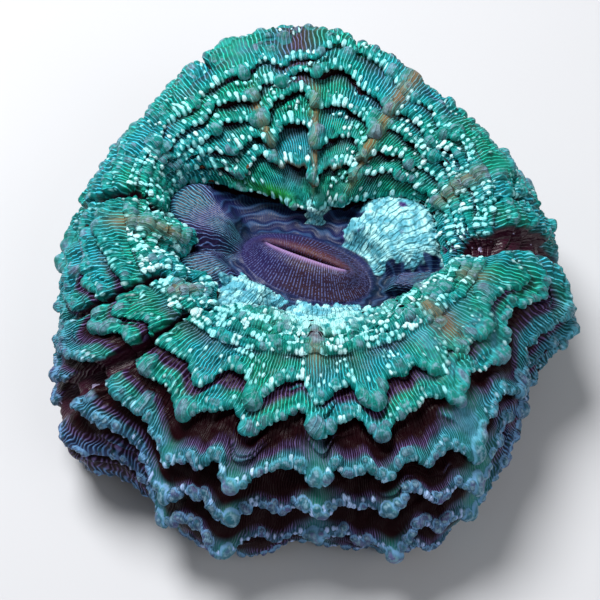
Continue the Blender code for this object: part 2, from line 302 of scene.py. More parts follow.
def mean_profile(angle):
    """The mean form's inner and outer slopes, each as points (step, column, (radius, height))."""
    wall_angle = turned(angle, -1)
    reach_angle = turned(angle, REACH_SLOPE)
    disc = np.stack([around(wall_angle, DISC_RADIUS), around(wall_angle, DISC_HEIGHT)], -1)
    crest = np.stack([around(angle, CREST_RADIUS), around(angle, CREST_HEIGHT)], -1)
    reach = np.stack([around(reach_angle, REACH) - LEDGE_STAND, around(reach_angle, REACH_HEIGHT)], -1)
    foot = np.stack([reach[:, 0] * FOOT_SHARE, np.zeros(len(angle))], -1)
    t = np.linspace(0, 1, FINE_STEPS)[:, None, None]
    inner = slope_curve(disc, crest, INNER_PULLS, t)
    outer = slope_curve(crest, reach, OUTER_PULLS, t)
    under = slope_curve(reach, foot, UNDER_PULLS, t)
    return inner, np.concatenate([outer, under[1:]])


def walk(points, share):
    """Position, direction and length of each column's profile at the given shares of its length."""
    steps = np.linalg.norm(np.diff(points, axis=0), axis=2)
    length = np.concatenate([np.zeros((1, steps.shape[1])), np.cumsum(steps, axis=0)])
    direction = np.gradient(points, axis=0)
    direction /= np.linalg.norm(direction, axis=2, keepdims=True)
    place = np.empty((*share.shape, 2))
    heading = np.empty((*share.shape, 2))
    for column in range(share.shape[1]):
        at = share[:, column] * length[-1, column]
        for axis in range(2):
            place[:, column, axis] = np.interp(at, length[:, column], points[:, column, axis])
            heading[:, column, axis] = np.interp(at, length[:, column], direction[:, column, axis])
    heading /= np.linalg.norm(heading, axis=2, keepdims=True)
    return place, heading, length[-1]


def noses(angle, tier):
    """How far the ribs push a tier's lip out at each angle, from 0 to about 1."""
    rng = np.random.default_rng(SEEDS["noses"] + tier)
    total = np.zeros_like(angle)
    gaps = np.roll(RIBS, -1) - np.array(RIBS)
    for rib, gap in zip(RIBS, gaps % 360):
        size = rng.uniform(*RIB_NOSE)
        total += size * hump(apart(angle, rib + rng.uniform(-RIB_STRAY, RIB_STRAY)) / RIB_WIDTH)
        between = rib + gap * rng.uniform(*MID_PLACE)
        total += rng.uniform(*MID_NOSE) * hump(apart(angle, between) / (MID_WIDTH * RIB_WIDTH))
    return total


def ribs(angle):
    """How much of a recess each rib fills, from 0 to 1."""
    total = np.zeros_like(angle)
    for rib in RIBS:
        total += STOUT_RIBS.get(rib, PLAIN_RIB) * hump(apart(angle, rib) / RIB_WIDTH)
    return np.minimum(total, 1)


def tier_height(angle, tier, height):
    """A ledge's height round the coral: full in front, less at the sides, and uneven throughout."""
    flat = FLAT_SIDE_SHARE if 2 <= tier < FOLD_SEED else UPPER_FLATNESS * FLAT_SIDE_SHARE
    side = 1 - (1 - flat) * np.abs(np.cos(angle)) ** 1.5
    uneven = 0.92 + 0.2 * wobble(angle, SEEDS["height"] + tier)
    uneven = uneven + 0.25 * wobble(angle, SEEDS["uneven"] + tier, UNEVEN_WAVES)
    return height * side * np.maximum(uneven, LEAST_HEIGHT) * (0.72 + 0.5 * noses(angle, tier))


def wander(angle, share, inward):
    """How far the tiers drift along a slope, so that neighbouring lips close up and part."""
    rng = np.random.default_rng(SEEDS["wander"] + inward)
    total = np.zeros_like(angle)
    for wave in WANDER_WAVES:
        tilt = rng.uniform(*WANDER_TILT) * rng.choice([-1, 1])
        total = total + rng.uniform(0.5, 1.0) * np.sin(wave * angle + tilt * share + rng.uniform(0, 6))
    return (FOLD_WANDER if inward else LEDGE_WANDER) * total / 2


def clefts(angle, slope, radius):
    """Depth of the clefts at each point, where slope runs from -1 at the disc to 1 at the foot."""
    depth = np.zeros(slope.shape)
    for degrees, start, end, widens, inner_width, outer_width, deepest in CLEFTS:
        sway = CLEFT_SWAY * np.sin(CLEFT_BENDS * slope)
        across = np.radians(apart(angle, degrees + sway)) * radius
        along = ease(start - 0.08, start + 0.15, slope) * ease(end + 0.15, end - 0.1, slope)
        width = inner_width + (outer_width - inner_width) * ease(widens, widens + 0.5, slope)
        depth = np.maximum(depth, deepest * along * np.minimum(1.5 * hump(across / width), 1))
    return depth


def section(phase):
    """How far along a tier's share and how high its section is, at each phase."""
    phases, runs, heights = np.array(LEDGE_SECTION).T
    return through(phase, phases, runs), through(phase, phases, heights)


def even_phases(count, height, width):
    """Phases that put a tier's rows at even steps along its section."""
    fine = np.linspace(0, 1, SECTION_STEPS)
    run, lift = section(fine)
    steps = np.hypot(np.diff(run) * width, np.diff(lift) * height)
    along = np.concatenate([[0], np.cumsum(steps)])
    return np.interp(np.arange(count) / count * along[-1], along, fine)


def ruffle(angle, seed):
    """The small waves along a lip."""
    return wobble(angle, seed, RUFFLE_WAVES)


def flap_places(tier):
    """Short secondary lips on a tier's tread: (degrees, phase of the edge, half width, height share)."""
    rng = np.random.default_rng(SEEDS["flaps"] + tier)
    ranges = [(0, 360), FLAP_EDGE, FLAP_WIDTH, FLAP_STAND]
    return list(zip(*[rng.uniform(low, high, FLAPS_PER_TIER) for low, high in ranges]))


def flaps(angle, phase, tier):
    """Height of a tier's secondary lips, as a share of the tier's own."""
    total = np.zeros_like(angle)
    for place, edge, width, stand in flap_places(tier):
        rise = ease(edge - FLAP_RISE, edge, phase) * ease(edge + FLAP_DROP, edge, phase)
        total = np.maximum(total, stand * rise * hump(apart(angle, place) / width) ** 2)
    return total


def mantle(angle, tiers, rows, inward):
    """One slope's surface: points (row, column, axis), and for each row its tier and phase."""
    inner, outer = mean_profile(angle)
    profile = inner if inward else outer
    shares, lifts, tier_of, phase_of, height_of = [], [], [], [], []
    start = 0.0
    for tier, (end, height) in enumerate(tiers):
        seed = tier + (FOLD_SEED if inward else 0)
        next_seed = seed + 1 if tier + 1 < len(tiers) else seed
        tall = tier_height(angle, seed, height)
        phases = even_phases(rows[tier], height, (end - start) * (FOLD_SLOPE if inward else LEDGE_SLOPE))
        if inward:
            phases = np.sort(np.mod(1 - phases, 1))
        for phase in phases:
            own = 1 - phase if inward else phase
            run, lift = section(np.array([own]))
            run = 1 - run if inward else run
            share = start + (end - start) * run
            push = noses(angle, seed) * (1 - phase) + noses(angle, next_seed) * phase
            push = (push - MEAN_NOSE) * (FOLD_NOSE_REACH if inward else LEDGE_NOSE_REACH)
            waves = ruffle(angle, SEEDS["ruffle"] + seed) * (1 - phase)
            push += RUFFLE_REACH * (waves + ruffle(angle, SEEDS["ruffle"] + next_seed) * phase)
            ends = ease(-0.02, 0.1, share) * ease(1.0, 0.9, share)
            drift = wander(angle, share, inward) * ends
            shares.append(share + drift + push * (end - start) * ends * (-1 if inward else 1))
            lift = lift + flaps(angle, own, seed)
            lifts.append(tall * (lift + RIB_FILL * ribs(angle) * (1 - lift)))
            tier_of.append(tier)
            phase_of.append(own)
            height_of.append(tall)
        start = end
    share = np.array(shares)
    place, heading, length = walk(profile, np.clip(share, 0, 1))
    lift = np.array(lifts)
    if inward:
        lift = np.minimum(lift, FOLD_STEEPNESS * length * tiers[0][0])
    slope = share - 1 if inward else share
    cleft = clefts(angle[None, :], slope, place[..., 0])
    lift = lift - cleft
    normal = np.stack([-heading[..., 1], heading[..., 0]], -1)
    spot = place + lift[..., None] * normal
    if not inward:
        spot[..., 1] = np.maximum(spot[..., 1], LOWEST_LIP)
    toward = turned(angle, slope)
    return {
        "points": polar(toward, spot[..., 0], spot[..., 1]),
        "tier": np.array(tier_of) + (0 if inward else len(FOLDS)),
        "phase": np.array(phase_of),
        "height": np.array(height_of),
        "slope": slope,
        "cleft": cleft,
    }


def mouth_ring(angle, ring):
    half_length, half_width, height = ring
    turn = math.radians(MOUTH_TURN)
    x, y = half_length * np.cos(angle - turn), half_width * np.sin(angle - turn)
    return np.stack(
        [
            MOUTH_CENTRE[0] + x * math.cos(turn) - y * math.sin(turn),
            MOUTH_CENTRE[1] - MOUTH_LEAN * half_width + x * math.sin(turn) + y * math.cos(turn),
            np.full_like(angle, height),
        ],
        -1,
    )


def mouth(angle):
    """Rings from the slit's floor over the lips to the foot of the mound."""
    stops = np.arange(len(MOUTH_RINGS), dtype=float)
    sizes = np.array(MOUTH_RINGS)
    at = np.linspace(0, stops[-1], MOUTH_ROWS)
    rings = [[through(step, stops, sizes[:, i]) for i in range(3)] for step in at]
    return np.array([mouth_ring(angle, ring) for ring in rings])


def disc(angle):
    """Rings of the oral disc, from the mouth mound's foot out to the wall under the first fold."""
    mound = mouth_ring(angle, MOUTH_RINGS[-1])
    toward = turned(angle, -1)
    radius = around(toward, DISC_RADIUS) + 0.4
    wall = polar(toward, radius, around(toward, DISC_HEIGHT) - DISC_WALL)
    rings = []
    for step in np.arange(1, DISC_ROWS + 1) / (DISC_ROWS + 1):
        ring = mound + (wall - mound) * step
        for degrees, width, start, end, height in DISC_LOBES:
            along = window(step, start, end, 0, 0.25)
            rise = height * along * np.exp(-np.abs(apart(angle, degrees) / width) ** 6)
            ring[:, 2] += rise * (1 - 0.5 * ease(0.8, 1.0, step))
        rings.append(ring)
    return np.array(rings)


def surface_normals(points):
    """Outward normals of a grid of points that closes round its columns."""
    along = np.gradient(points, axis=0)
    across = np.roll(points, -1, axis=1) - np.roll(points, 1, axis=1)
    normal = np.cross(across, along)
    size = np.linalg.norm(normal, axis=2, keepdims=True)
    normal /= np.maximum(size, 1e-9)
    return -normal


def whole_surface(angle):
    """The grid of the whole skin in millimetres, with what each row and point of it is."""
    folds = mantle(angle, FOLDS, FOLD_ROWS, True)
    ledges = mantle(angle, LEDGES, LEDGE_ROWS, False)
    middle = [mouth(angle), disc(angle)]
    last = ledges["points"][-1]
    foot_radius = mean_profile(angle)[1][-1][:, 0]
    toward = turned(angle, 1)
    foot = polar(toward, foot_radius, np.zeros_like(angle))
    steps = np.arange(1, FOOT_ROWS + 1)[:, None, None] / FOOT_ROWS
    skirt = last + (foot - last) * steps
    points = np.concatenate(middle + [folds["points"], ledges["points"], skirt])
    before = MOUTH_ROWS + DISC_ROWS
    surface = {"points": points, "before": before}
    # Each value's row by row, with what it is on the rows before the mantle and on the skirt.
    ends = {"tier": (-1, TIERS), "phase": (0, 1), "height": (0, 0), "slope": (-1, 1), "cleft": (0, 0)}
    for key, (fill, tail) in ends.items():
        shape = folds[key].shape[1:]
        head = np.full((before, *shape), fill, float)
        skirt_rows = np.full((FOOT_ROWS, *shape), tail, float)
        surface[key] = np.concatenate([head, folds[key], ledges[key], skirt_rows])
    return surface


def arc_lengths(points):
    """How far each row lies from the first, along each column."""
    steps = np.linalg.norm(np.diff(points, axis=0), axis=2)
    return np.concatenate([np.zeros((1, steps.shape[1])), np.cumsum(steps, axis=0)])


def lip_domes(rng, tier, ring, length):
    """The beads of one tier, in rows over the lip and up its tread."""
    outer = tier - len(FOLDS)
    draw = rng.uniform
    count = int(2 * math.pi * ring / BEAD_PITCH)
    sub_rows = int(max(length - 2.0, 0) / SUB_ROW_PITCH)
    at = (np.arange(count) + 0.4 * rng.random()) / count * 360
    front = ease(*FRONT_SPAN, -np.sin(np.radians(at)))
    bare = front * ease(-0.4, 1.0, outer)
    patchy = ease(-0.3, 0.4, wobble(np.radians(at), SEEDS["patches"] + tier // 3, (9, 14, 23, 34)))
    knobbly = 0.4 * ease(-0.5, 1.5, outer)
    for row in range(len(LIP_ROWS) + sub_rows):
        on_lip = row < len(LIP_ROWS)
        off, wanted = LIP_ROWS[row if on_lip else -1]
        if not on_lip:
            off = off - SUB_ROW_PITCH * (row - 1)
            wanted = (1 - bare) * (0.06 + 0.84 * patchy)
        for degrees, share in zip(at, np.broadcast_to(wanted, count)):
            if rng.random() > share:
                continue
            size = draw(*(LIP_BEAD if on_lip else TREAD_BEAD))
            stretch = draw(*(LIP_STRETCH if on_lip else TREAD_STRETCH))
            turn = draw(-0.1, 0.1) / count * 360
            large = on_lip and rng.random() < knobbly
            if large:
                size, stretch = draw(*LIP_KNOB), 1.0
            aside = draw(-BEAD_STRAY, BEAD_STRAY)
            yield degrees + turn, off + aside, size, stretch, "knob" if large else "bead"


def rib_domes(rng, outer):
    """The bladders of one tier: most stand in groups where a rib meets the lip."""
    draw = rng.uniform
    small, big = LEDGE_KNOB if outer >= 0 else FOLD_KNOB
    for rib in RIBS:
        for side, chance in RIB_CHANCES.items():
            if rng.random() < chance:
                at = rib + side * draw(1.6, 3.4) + draw(-1, 1)
                size = draw(small, big if side == 0 else 0.7 * big)
                beside = abs(math.cos(math.radians(rib)))
                club = outer >= 1 and rng.random() < 0.8 * beside
                stretch = draw(*(CLUB if club else ROUND))
                yield at, draw(*KNOB_OFF), 0.75 * size if club else size, stretch, "knob"
    for _ in range(LEDGE_SPARE if outer >= 0 else FOLD_SPARE):
        yield draw(0, 360), draw(*SPARE_OFF), draw(0.8, 0.6 * big), 1.0, "knob"
    if outer in CREST_TIERS:
        for _ in range(CREST_KNOBS):
            size = draw(0.8, 1.7)
            yield draw(*CREST_ARC), draw(*CREST_OFF), size, draw(*LONG), "knob"
    if outer in RIM_TIERS:
        first, last, count, least, most = RIM_KNOBS
        for degrees in np.linspace(first, last, count):
            size = draw(least, most)
            yield degrees + draw(-2, 2), draw(-1.2, 0.4), size, draw(*ROUND), "knob"
    if outer < -3:
        for _ in range(RIM_CRUMBS // 3):
            yield rng.normal(*CRUMB_ARC), draw(-3.0, 0.5), draw(0.8, 1.5), 1.0, "crumb"


def flap_domes(rng, tier, ring, phases, off):
    """The beads along the edges of one tier's secondary lips."""
    for place, edge, width, _ in flap_places(tier):
        if tier in range(1, len(LEDGES)) and np.sin(np.radians(place)) < 0.2:
            continue
        row = np.abs(phases - edge).argmin()
        reach = width * 0.8
        step = BEAD_PITCH / ring * ARC_DEGREES
        for degrees in np.arange(place - reach, place + reach, step):
            column = int(degrees % 360 / 360 * off.shape[1]) % off.shape[1]
            aside = rng.uniform(-BEAD_STRAY, BEAD_STRAY)
            yield degrees, off[row, column] + aside, rng.uniform(*FLAP_BEAD), 1.2, "bead"


def raise_dome(place, weight, tier, points, spacing, out, masks):
    """Adds one bead or bladder to the relief, round in space whatever the slope under it."""
    degrees, offset, size, stretch, kind = place
    rows, off = tier
    columns = points.shape[1]
    centre = int(round(degrees % 360 / 360 * columns)) % columns
    middle = int(np.abs(off[:, centre] - offset).argmin())
    half = int(size / spacing[centre]) + 2
    tall = int(size * stretch / ROW_PITCH) + 3
    near = slice(rows[max(middle - tall, 0)], rows[min(middle + tall, len(rows) - 1)] + 1)
    wrapped = np.arange(centre - half, centre + half + 1) % columns
    patch = points[near][:, wrapped]
    away = patch - points[rows[middle], centre]
    squared = (away**2).sum(2)
    if stretch > 1:
        run = points[rows[min(middle + 1, len(rows) - 1)], centre] - points[rows[max(middle - 1, 0)], centre]
        along = (away @ (run / np.linalg.norm(run))) ** 2
        squared = squared - along + along / stretch**2
    dome = np.clip(1 - squared / size**2, 0, 1)
    out[near, wrapped] = np.maximum(out[near, wrapped], DOME_HEIGHT * size * np.sqrt(dome))
    masks[kind][near, wrapped] = np.maximum(masks[kind][near, wrapped], dome * weight)


def relief(surface, angle):
    """Height of the mantle's fine forms, and the masks that its colours follow."""
    points = surface["points"]
    arc = arc_lengths(points)
    radius = np.hypot(points[..., 0], points[..., 1])
    shape = radius.shape
    height = np.zeros(shape)
    domes = np.zeros(shape)
    masks = {name: np.zeros(shape) for name in ("bead", "knob", "crumb", "deep", "lip", "rust")}
    frontness = ease(*FRONT_SPAN, -np.sin(angle))
    middle_front = ease(*MIDDLE_SPAN, -np.sin(angle))
    backness = ease(*BACK_SPAN, np.sin(angle))

    rng = np.random.default_rng(SEEDS["domes"])
    for tier in range(TIERS):
        rows = np.nonzero(surface["tier"] == tier)[0]
        phases = surface["phase"][rows]
        lip_row = rows[np.abs(phases - LIP_PHASE).argmin()]
        inward = tier < len(FOLDS)
        ledge = tier - len(FOLDS)
        # Distance from the lip: less than 0 on the tread, over 0 on the underside.
        off = (arc[rows] - arc[lip_row]) * (-1 if inward else 1)
        ring = radius[lip_row].mean()
        spacing = 2 * math.pi / COLUMNS * radius[rows[len(rows) // 2]]
        flap_seed = tier + FOLD_SEED if inward else ledge
        domed = list(lip_domes(rng, tier, ring, -off.min(axis=0).mean())) + list(rib_domes(rng, ledge))
        domed += list(flap_domes(rng, flap_seed, ring, phases, off))
        for place in domed:
            weight = 1.0
            if place[-1] == "bead":
                beside = abs(math.cos(math.radians(place[0]))) * (ledge >= 0)
                weight = rng.choice(BEAD_WEIGHTS) * (1 - BESIDE_DIMMING * beside)
            raise_dome(place, weight, (rows, off), points, spacing, domes, masks)
        phase = phases[:, None] + 0 * off
        lift = section(phase)[1] + flaps(angle, phase, flap_seed)
        bare = frontness * ease(1, 2.5, ledge)
        behind = off + 60 + 0.4 * ruffle(angle, SEEDS["wrinkle"])
        wrinkle = np.modf(np.clip(behind, 0, None) / SUB_ROW_PITCH)[0]
        height[rows] += WRINKLE_HEIGHT * (1 - bare) * wrinkle * (off < -1.5) * (phase > 0.12)
        # Painted shade: the recess at the back of each tread, deeper in the middle front, and the underside
        # below each lip where the tier stands tall, are painted dark; the ribs fill some of it.
        deeper = DEEPER_FRONT * middle_front * ease(0.5, 2.5, ledge)
        tread_shade = 1 - ease(-0.15 + deeper, 0.85 + deeper, lift)
        under_shade = (1 - ease(0.6, 1.0, lift)) * ease(0.8, 2.6, surface["height"][rows])
        below = phase > LIP_PHASE
        strength = 0.3 if inward else np.clip(0.3 + 0.35 * ledge, 0, 1) * (0.15 + 0.85 * frontness)
        shade = np.where(below, under_shade, tread_shade * strength)
        fill = 0.8 * ribs(angle) * (1 - below)
        masks["deep"][rows] = shade * (1 - fill)
        masks["lip"][rows] = ease(-3.0, -0.3, off) * ease(1.4, 0.5, off)
        masks["rust"][rows] = ease(0.4, 0.9, off) * ease(2.6, 1.8, off) * backness

    on_mantle = (surface["tier"] >= 0) & (surface["tier"] < TIERS)
    rows = np.nonzero(on_mantle)[0]
    steps = np.broadcast_to(np.arange(len(rows))[:, None], (len(rows), COLUMNS))
    for degrees, distance, size, stretch in LONE_KNOBS:
        column = int(round(degrees / 360 * COLUMNS)) % COLUMNS
        near = np.abs(radius[rows, column] - distance) < 1.0
        step = np.nonzero(near)[0][points[rows, column, 2][near].argmax()]
        spacing = 2 * math.pi / COLUMNS * radius[rows[step]]
        place = (degrees, step, size, stretch, "knob")
        raise_dome(place, 1.0, (rows, steps), points, spacing, domes, masks)

    hidden = masks["knob"] > 0.02
    masks["bead"] = np.where(hidden, 0, masks["bead"])
    masks["rust"] = masks["rust"] * (1 - hidden)
    sides = np.abs(np.cos(angle)) ** 2
    x, y, z = np.moveaxis(points, -1, 0)
    pads = bent_wave(x, 0.55, y, 1.5, 0.23) * bent_wave(y, 0.48, x, 1.5, 0.27, 2) * sides
    lumps = LUMP_HEIGHT * bent_wave(x, 0.9, y, 2, 0.31) * bent_wave(y, 0.8, z, 1.7, 0.37, 1)
    height = (height * (1 - 0.6 * hidden) + domes + lumps + PAD_HEIGHT * pads) * on_mantle[:, None]
    masks["cleft"] = np.clip(surface["cleft"] / 3.5, 0, 1)
    height = height * (1 - 0.8 * masks["cleft"])
    return height, masks


def streak(angle, slope, places):
    """A mask of streaks along the radial lines: each is (angle, start, end, half width in degrees)."""
    total = np.zeros(slope.shape)
    for degrees, start, end, width in places:
        along = window(slope, start, end, 0.1, 0.1)
        total = np.maximum(total, along * hump(apart(angle, degrees) / width))
    return total


def disc_crumbs(points, pale):
    """Rounded crumbs over the pale patches, as heights in millimetres."""
    rng = np.random.default_rng(SEEDS["crumbs"])
    rows, columns = np.nonzero(pale > 0.6)
    height = np.zeros(pale.shape)
    for pick in rng.integers(0, len(rows), DISC_CRUMBS):
        size = rng.uniform(0.7, 1.5)
        away = points[rows, columns] - points[rows[pick], columns[pick]]
        dome = 0.8 * size * np.sqrt(np.clip(1 - (away**2).sum(1) / size**2, 0, 1))
        height[rows, columns] = np.maximum(height[rows, columns], dome)
    return height


def disc_relief(surface, angle):
    """Height and masks of the fine forms of the mouth and the oral disc."""
    points = surface["points"]
    before = surface["before"]
    arc = arc_lengths(points)
    row = np.arange(len(points))[:, None]
    step = np.clip((row - MOUTH_ROWS + 1) / (DISC_ROWS + 1), 0, 1)
    on_disc = ease(0, 0.12, step) * (row < before)
    pale = np.zeros(points.shape[:2])
    x, y = points[..., 0], points[..., 1]
    ragged = bent_wave(x, 0.9, y, 2, 0.7) * bent_wave(y, 1.1, x, 2, 0.6, 1)
    for degrees, start, end, width in PALE_PATCHES:
        across = np.abs(apart(angle, degrees) + 3 * np.sin(14 * step)) / width + 0.12 * ragged
        pale = np.maximum(pale, window(step, start, end, 0, 0.12) * ease(1.12, 0.85, across))
    lobe = np.zeros(points.shape[:2])
    for degrees, width, lean, start in TONGUES:
        across = np.abs(apart(angle, degrees + lean * (1 - step))) / width
        lobe = np.maximum(lobe, ease(1.06, 0.9, across) * ease(start, start + 0.25, step))
    lines = angle * LINES / 3 / (2 * math.pi) + 0.8 * ragged
    ridge = 1 - 2 * np.abs(lines - np.floor(lines) - 0.5)
    run = arc - arc[MOUTH_ROWS]
    cross_ridge = np.sqrt(np.abs(np.sin(math.pi * (run / 1.8 + 0.25 * np.sin(7 * angle)))))
    bend = 2.5 * wobble(angle, SEEDS["floor"], (2, 5, 9)) + 0.9 * np.sin(0.8 * run + 11 * angle)
    waves = np.sin(run / 0.55 + bend + 0.8 * np.sin(23 * angle - 0.5 * run))
    floor = TONGUE_LINE_HEIGHT * ridge * lobe + WAVE_HEIGHT * waves * (1 - pale) * (1 - 0.9 * lobe)
    crumbs = disc_crumbs(points, pale)
    crust = (0.2 + 0.6 * ridge) * (0.3 + 0.7 * cross_ridge) * pale + crumbs
    fillet = FILLET_HEIGHT * hump((row - MOUTH_ROWS) / 5) * (row < before)
    height = on_disc * (floor + crust) + fillet
    from_slit = angle - math.radians(MOUTH_TURN)
    near_side = 0.5 - 0.5 * np.sin(from_slit)
    teeth = np.abs(np.sin(angle * 42)) * hump((row - 7) / 2.5)
    mound_lines = np.abs(np.sin(angle * LINES / 6)) * ease(8, 12, row) * (row < MOUTH_ROWS)
    height = height + TOOTH_HEIGHT * teeth + MOUND_LINE_HEIGHT * mound_lines
    height = height + LIP_SWELL * near_side * hump((row - 10) / 2.0)
    mouth_masks = {
        "pale": pale * on_disc,
        "crumb": np.clip(crumbs, 0, 1) * on_disc,
        "lobe": lobe * on_disc,
        "wave": (0.5 + 0.5 * waves) * on_disc,
        "cross": ease(0.75, 0.35, cross_ridge) * pale,
        "cool": ease(0.1, -0.8, np.cos(from_slit)),
        "mound": ease(MOUTH_ROWS + 6, MOUTH_ROWS - 5, row) * (row < before),
        "slit": hump((row - 10.5) / 2.0) * ease(0.35, 0.75, near_side),
        "far": hump((row - 13) / 6) * ease(0.6, 0.2, near_side),
        "inside": ease(8, 4, row),
    }
    return height, {name: mask + 0 * pale for name, mask in mouth_masks.items()}


def smooth_rows(surface, angle):
    """The finished points and normals of the whole skin, and every mask."""
    angle = angle[None, :]
    height, masks = relief(surface, angle)
    disc_height, disc_masks = disc_relief(surface, angle)
    disc_masks["crumb"] = np.maximum(disc_masks["crumb"], masks["crumb"])
    masks.update(disc_masks)
    normal = surface_normals(surface["points"])
    slope = surface["slope"]
    on_mantle = surface["tier"][:, None] >= 0
    masks["ochre"] = streak(angle, slope, OCHRE_STREAKS)
    height = height * (1 - 0.4 * masks["ochre"]) + OCHRE_HEIGHT * masks["ochre"] * on_mantle
    points = surface["points"] + normal * (height + disc_height)[..., None]
    points[-1, :, 2] = 0.0
    points[surface["before"]:, :, 2] = np.maximum(points[surface["before"]:, :, 2], 0.0)
    masks["bead"] = masks["bead"] * (1 - 0.8 * masks["ochre"])
    masks["smooth"] = streak(angle, slope, SMOOTH_STREAKS)
    front_inside = ease(-0.3, -0.7, slope) * hump(apart(angle, 278) / 34) ** 2
    masks["pale"] = np.maximum(masks["pale"], front_inside * on_mantle)
    masks["lime"] = ease(-0.90, -0.97, slope) * hump(apart(angle, 116) / 11)
    front = ease(0.0, 0.6, -np.sin(angle))
    # The lower slopes, most in front: their colours are painted darker there, as shade, and bluer.
    masks["low"] = ease(0.15, 0.55, slope) * (0.3 + 0.7 * front)
    top_lobe = hump(apart(angle, 94) / 9) ** 2
    masks["brown"] = 0.9 * top_lobe * ease(-0.42, -0.34, slope) * (1 - masks["lip"])
    # Painted shade on the foot below the lowest lips.
    masks["deep"] = np.maximum(masks["deep"], ease(0.82, 0.93, slope))
    return points, surface_normals(points), masks


def wall_rings(first, last, floor):
    """Hidden rings that close a band inside the body, from its last row back to its first."""
    inner = first * HIDDEN_INNER
    inner[:, 2] = np.maximum(first[:, 2] * 0.8 - 6, floor)
    outer = last * HIDDEN_OUTER
    outer[:, 2] = np.maximum(last[:, 2] * 0.6, floor)
    return [outer, inner]


def bake_places(quads, caps, count, ring_count):
    """Places for baking: the band cut into strips, one above another, and its caps beside them."""
    column = quads[:, 0] % count
    strip = column * BAKE_STRIPS // count
    first = quads[:, 0] // count
    second = quads[:, 1] // count
    second = np.where(second < first, ring_count, second)
    left = column * BAKE_STRIPS / count - strip
    right = left + BAKE_STRIPS / count
    across = BAKE_MARGIN + (1 - 2 * BAKE_MARGIN) * np.stack([left, left, right, right], -1)
    along = BAKE_MARGIN + (1 - 2 * BAKE_MARGIN) * np.stack([first, second, second, first], -1) / ring_count
    along = (strip[:, None] + along) / BAKE_STRIPS
    places = [np.stack([across * BAKE_WIDTH, along], -1).reshape(-1, 2)]
    radius = 0.4 * (1 - BAKE_WIDTH)
    for k, cap in enumerate(caps):
        at = np.array(cap) % count / count * 2 * math.pi
        centre = (0.5 + 0.5 * BAKE_WIDTH, 0.25 + 0.5 * k)
        places.append(np.stack([centre[0] + radius * np.cos(at), centre[1] + radius * np.sin(at)], -1))
    return np.concatenate(places)


def new_object(name, data):
    made = bpy.data.objects.new(name, data)
    bpy.context.scene.collection.objects.link(made)
    return made


def ring_faces(first_ring, second_ring, count):
    """The quads between two rings of points."""
    i = np.arange(count)
    j = (i + 1) % count
    return np.stack([first_ring * count + i, second_ring * count + i, second_ring * count + j,
                     first_ring * count + j], -1)


def band(name, rows, points, normals, masks, angle, closing, material):
    """One piece of the skin: the grid's rows from first to last, closed inside the body."""
    first, last = rows
    count = points.shape[1]
    rings = list(points[first:last + 1])
    shown = len(rings)
    if closing == "band":
        rings += wall_rings(points[first], points[last], 1.0)
    elif closing == "disc":
        under = points[last] * 0.94
        under[:, 2] = points[last][:, 2] - 8
        rings.append(under)
    else:
        rings.append(points[first] * HIDDEN_INNER + np.array([0, 0, -4.0]))
    vertices = np.concatenate(rings)
    faces = [ring_faces(k, k + 1, count) for k in range(len(rings) - 1)]
    if closing == "foot":
        del faces[shown - 1:]
    if closing != "disc":
        faces.append(ring_faces(len(rings) - 1, 0, count))
    quads = np.concatenate(faces)
    first_cap, foot_cap, hidden_cap = [
        list(range(ring * count, (ring + 1) * count)) for ring in (0, shown - 1, len(rings) - 1)
    ]
    caps = {"band": [], "disc": [first_cap, hidden_cap[::-1]], "foot": [foot_cap[::-1], hidden_cap]}[closing]
    mesh = bpy.data.meshes.new(name)
    mesh.from_pydata((vertices * MM).tolist(), [], quads.tolist() + caps)
    mesh.polygons.foreach_set("use_smooth", [True] * len(mesh.polygons))
    for key in DISC_MASKS if closing == "disc" else MANTLE_MASKS:
        # The hidden rings get full painted shade and none of the other marks.
        values = np.concatenate([masks[key][first:last + 1].ravel(),
                                 np.ones((len(rings) - shown) * count) * (key == "deep")])
        layer = mesh.attributes.new(key, "FLOAT", "POINT")
        layer.data.foreach_set("value", values.astype(np.float32))
    phase = np.degrees(angle) / 360 * LINES
    loops = np.empty(len(mesh.loops), np.int32)
    mesh.loops.foreach_get("vertex_index", loops)
    u = np.tile(phase, len(rings))[loops]
    quad_loops = len(quads) * 4
    corners = u[:quad_loops].reshape(-1, 4)
    wraps = corners[:, 0] > corners[:, 2] + LINES / 2
    corners[wraps, 2] += LINES
    corners[wraps, 3] += LINES
    u[:quad_loops] = corners.ravel()
    v = (loops // count).astype(float) / len(rings)
    maps = {"Lines": np.stack([u / LINES, v], -1), "OFBake": bake_places(quads, caps, count, len(rings))}
    for key, places in maps.items():
        layer = mesh.uv_layers.new(name=key)
        layer.data.foreach_set("uv", places.astype(np.float32).ravel())
    mesh.uv_layers["Lines"].active_render = True
    vertex_normals = np.concatenate([normals[first:last + 1].reshape(-1, 3),
                                     np.tile([0.0, 0.0, -1.0], ((len(rings) - shown) * count, 1))])
    mesh.normals_split_custom_set_from_vertices(vertex_normals.tolist())
    mesh.materials.append(material)
    return new_object(name, mesh)


